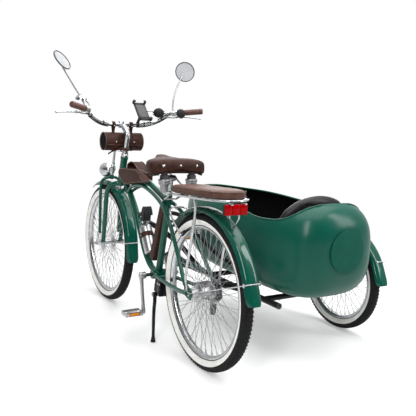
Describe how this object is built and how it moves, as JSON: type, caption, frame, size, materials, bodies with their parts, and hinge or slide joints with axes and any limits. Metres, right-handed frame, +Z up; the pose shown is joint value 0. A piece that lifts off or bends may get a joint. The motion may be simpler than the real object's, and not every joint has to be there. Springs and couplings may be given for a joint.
{
  "type": "bicycle with sidecar",
  "caption": "Cruiser bicycle with a springer fork and bags, joined on its right side to a torpedo-shaped one-seat sidecar on its own wheel.",
  "frame": {"origin": "on the floor, below the middle of the vehicle's box", "axes": "+X forward, the way the vehicle rides; +Y to the rider's left, away from the sidecar; +Z up"},
  "size_m": [1.7976, 1.386, 1.37],
  "materials": {
    "badge_green": "green disc, a little duller than the tub",
    "black_paint": "satin black paint",
    "black_plastic": "matt black plastic",
    "black_vinyl": "soft black vinyl",
    "brown_leather": "dark brown leather",
    "chrome": "polished chrome plate",
    "green_paint": "gloss green enamel",
    "red_reflector": "clear red plastic over prisms",
    "steel": "plain steel",
    "tyre_rubber": "black rubber, with a white side wall"
  },
  "bodies": {
    "frame": {"battery": "brown_leather", "bottle": "steel", "bottle_cage": "brown_leather", "cable_lock": "black_plastic", "chain": "steel", "chain_guard": "green_paint", "controller": "brown_leather", "derailleur": "black_plastic", "headset": "chrome", "main_frame": "green_paint", "rack": "chrome", "rack_cushion": "brown_leather", "rear_axle": "steel", "rear_brake": "chrome", "rear_mudguard": "green_paint", "saddle": "brown_leather", "seat_post": "chrome", "sidecar_axle": "steel", "sidecar_backrest": "black_vinyl", "sidecar_badge": "badge_green", "sidecar_chassis": "black_paint", "sidecar_mudguard": "green_paint", "sidecar_seat": "black_vinyl", "sidecar_tub": "green_paint", "stand_mount": "black_paint", "tail_reflector": "red_reflector", "tank_bag": "brown_leather"},
    "steering": {"bell": "chrome", "brake_lever_left": "chrome", "brake_lever_right": "chrome", "fork": "green_paint", "fork_spring": "chrome", "fork_struts": "green_paint", "front_axle": "steel", "front_mudguard": "green_paint", "grip_left": "brown_leather", "grip_right": "brown_leather", "handlebar": "chrome", "handlebar_bag": "brown_leather", "headlamp": "chrome", "horn": "black_plastic", "mirror_left": "chrome", "mirror_right": "chrome", "phone_holder": "black_plastic", "stem": "chrome", "thumb_control": "black_plastic"},
    "front_wheel": {"front_tyre": "tyre_rubber", "front_wheel": "chrome"},
    "rear_wheel": {"rear_tyre": "tyre_rubber", "rear_wheel": "chrome"},
    "sidecar_wheel": {"sidecar_tyre": "tyre_rubber", "sidecar_wheel": "chrome"},
    "crank": {"crankset": "chrome"},
    "left_pedal": {"pedal_left": "steel"},
    "right_pedal": {"pedal_right": "steel"},
    "kickstand": {"kickstand": "black_paint"}
  },
  "joints": [
    {"name": "steering", "type": "hinge", "parent": "frame", "child": "steering", "pos_m": [0.3635, 0.284, 0.8], "axis": [-0.2756, 0, 0.9613], "range_deg": [-40, 40]},
    {"name": "front_wheel_spin", "type": "hinge", "parent": "steering", "child": "front_wheel", "pos_m": [0.5658, 0.284, 0.333], "axis": [0, 1, 0], "continuous": true},
    {"name": "rear_wheel_spin", "type": "hinge", "parent": "frame", "child": "rear_wheel", "pos_m": [-0.5282, 0.284, 0.333], "axis": [0, 1, 0], "continuous": true},
    {"name": "sidecar_wheel_spin", "type": "hinge", "parent": "frame", "child": "sidecar_wheel", "pos_m": [-0.3892, -0.635, 0.26], "axis": [0, 1, 0], "continuous": true},
    {"name": "crank_spin", "type": "hinge", "parent": "frame", "child": "crank", "pos_m": [-0.0932, 0.284, 0.305], "axis": [0, 1, 0], "continuous": true},
    {"name": "left_pedal_spin", "type": "hinge", "parent": "crank", "child": "left_pedal", "pos_m": [-0.12854, 0.376, 0.13872], "axis": [0, 1, 0], "continuous": true},
    {"name": "right_pedal_spin", "type": "hinge", "parent": "crank", "child": "right_pedal", "pos_m": [-0.05785, 0.192, 0.47129], "axis": [0, 1, 0], "continuous": true},
    {"name": "kickstand_fold", "type": "hinge", "parent": "frame", "child": "kickstand", "pos_m": [-0.1562, 0.332, 0.224], "axis": [0, 1, 0], "range_deg": [0, 85]}
  ]
}
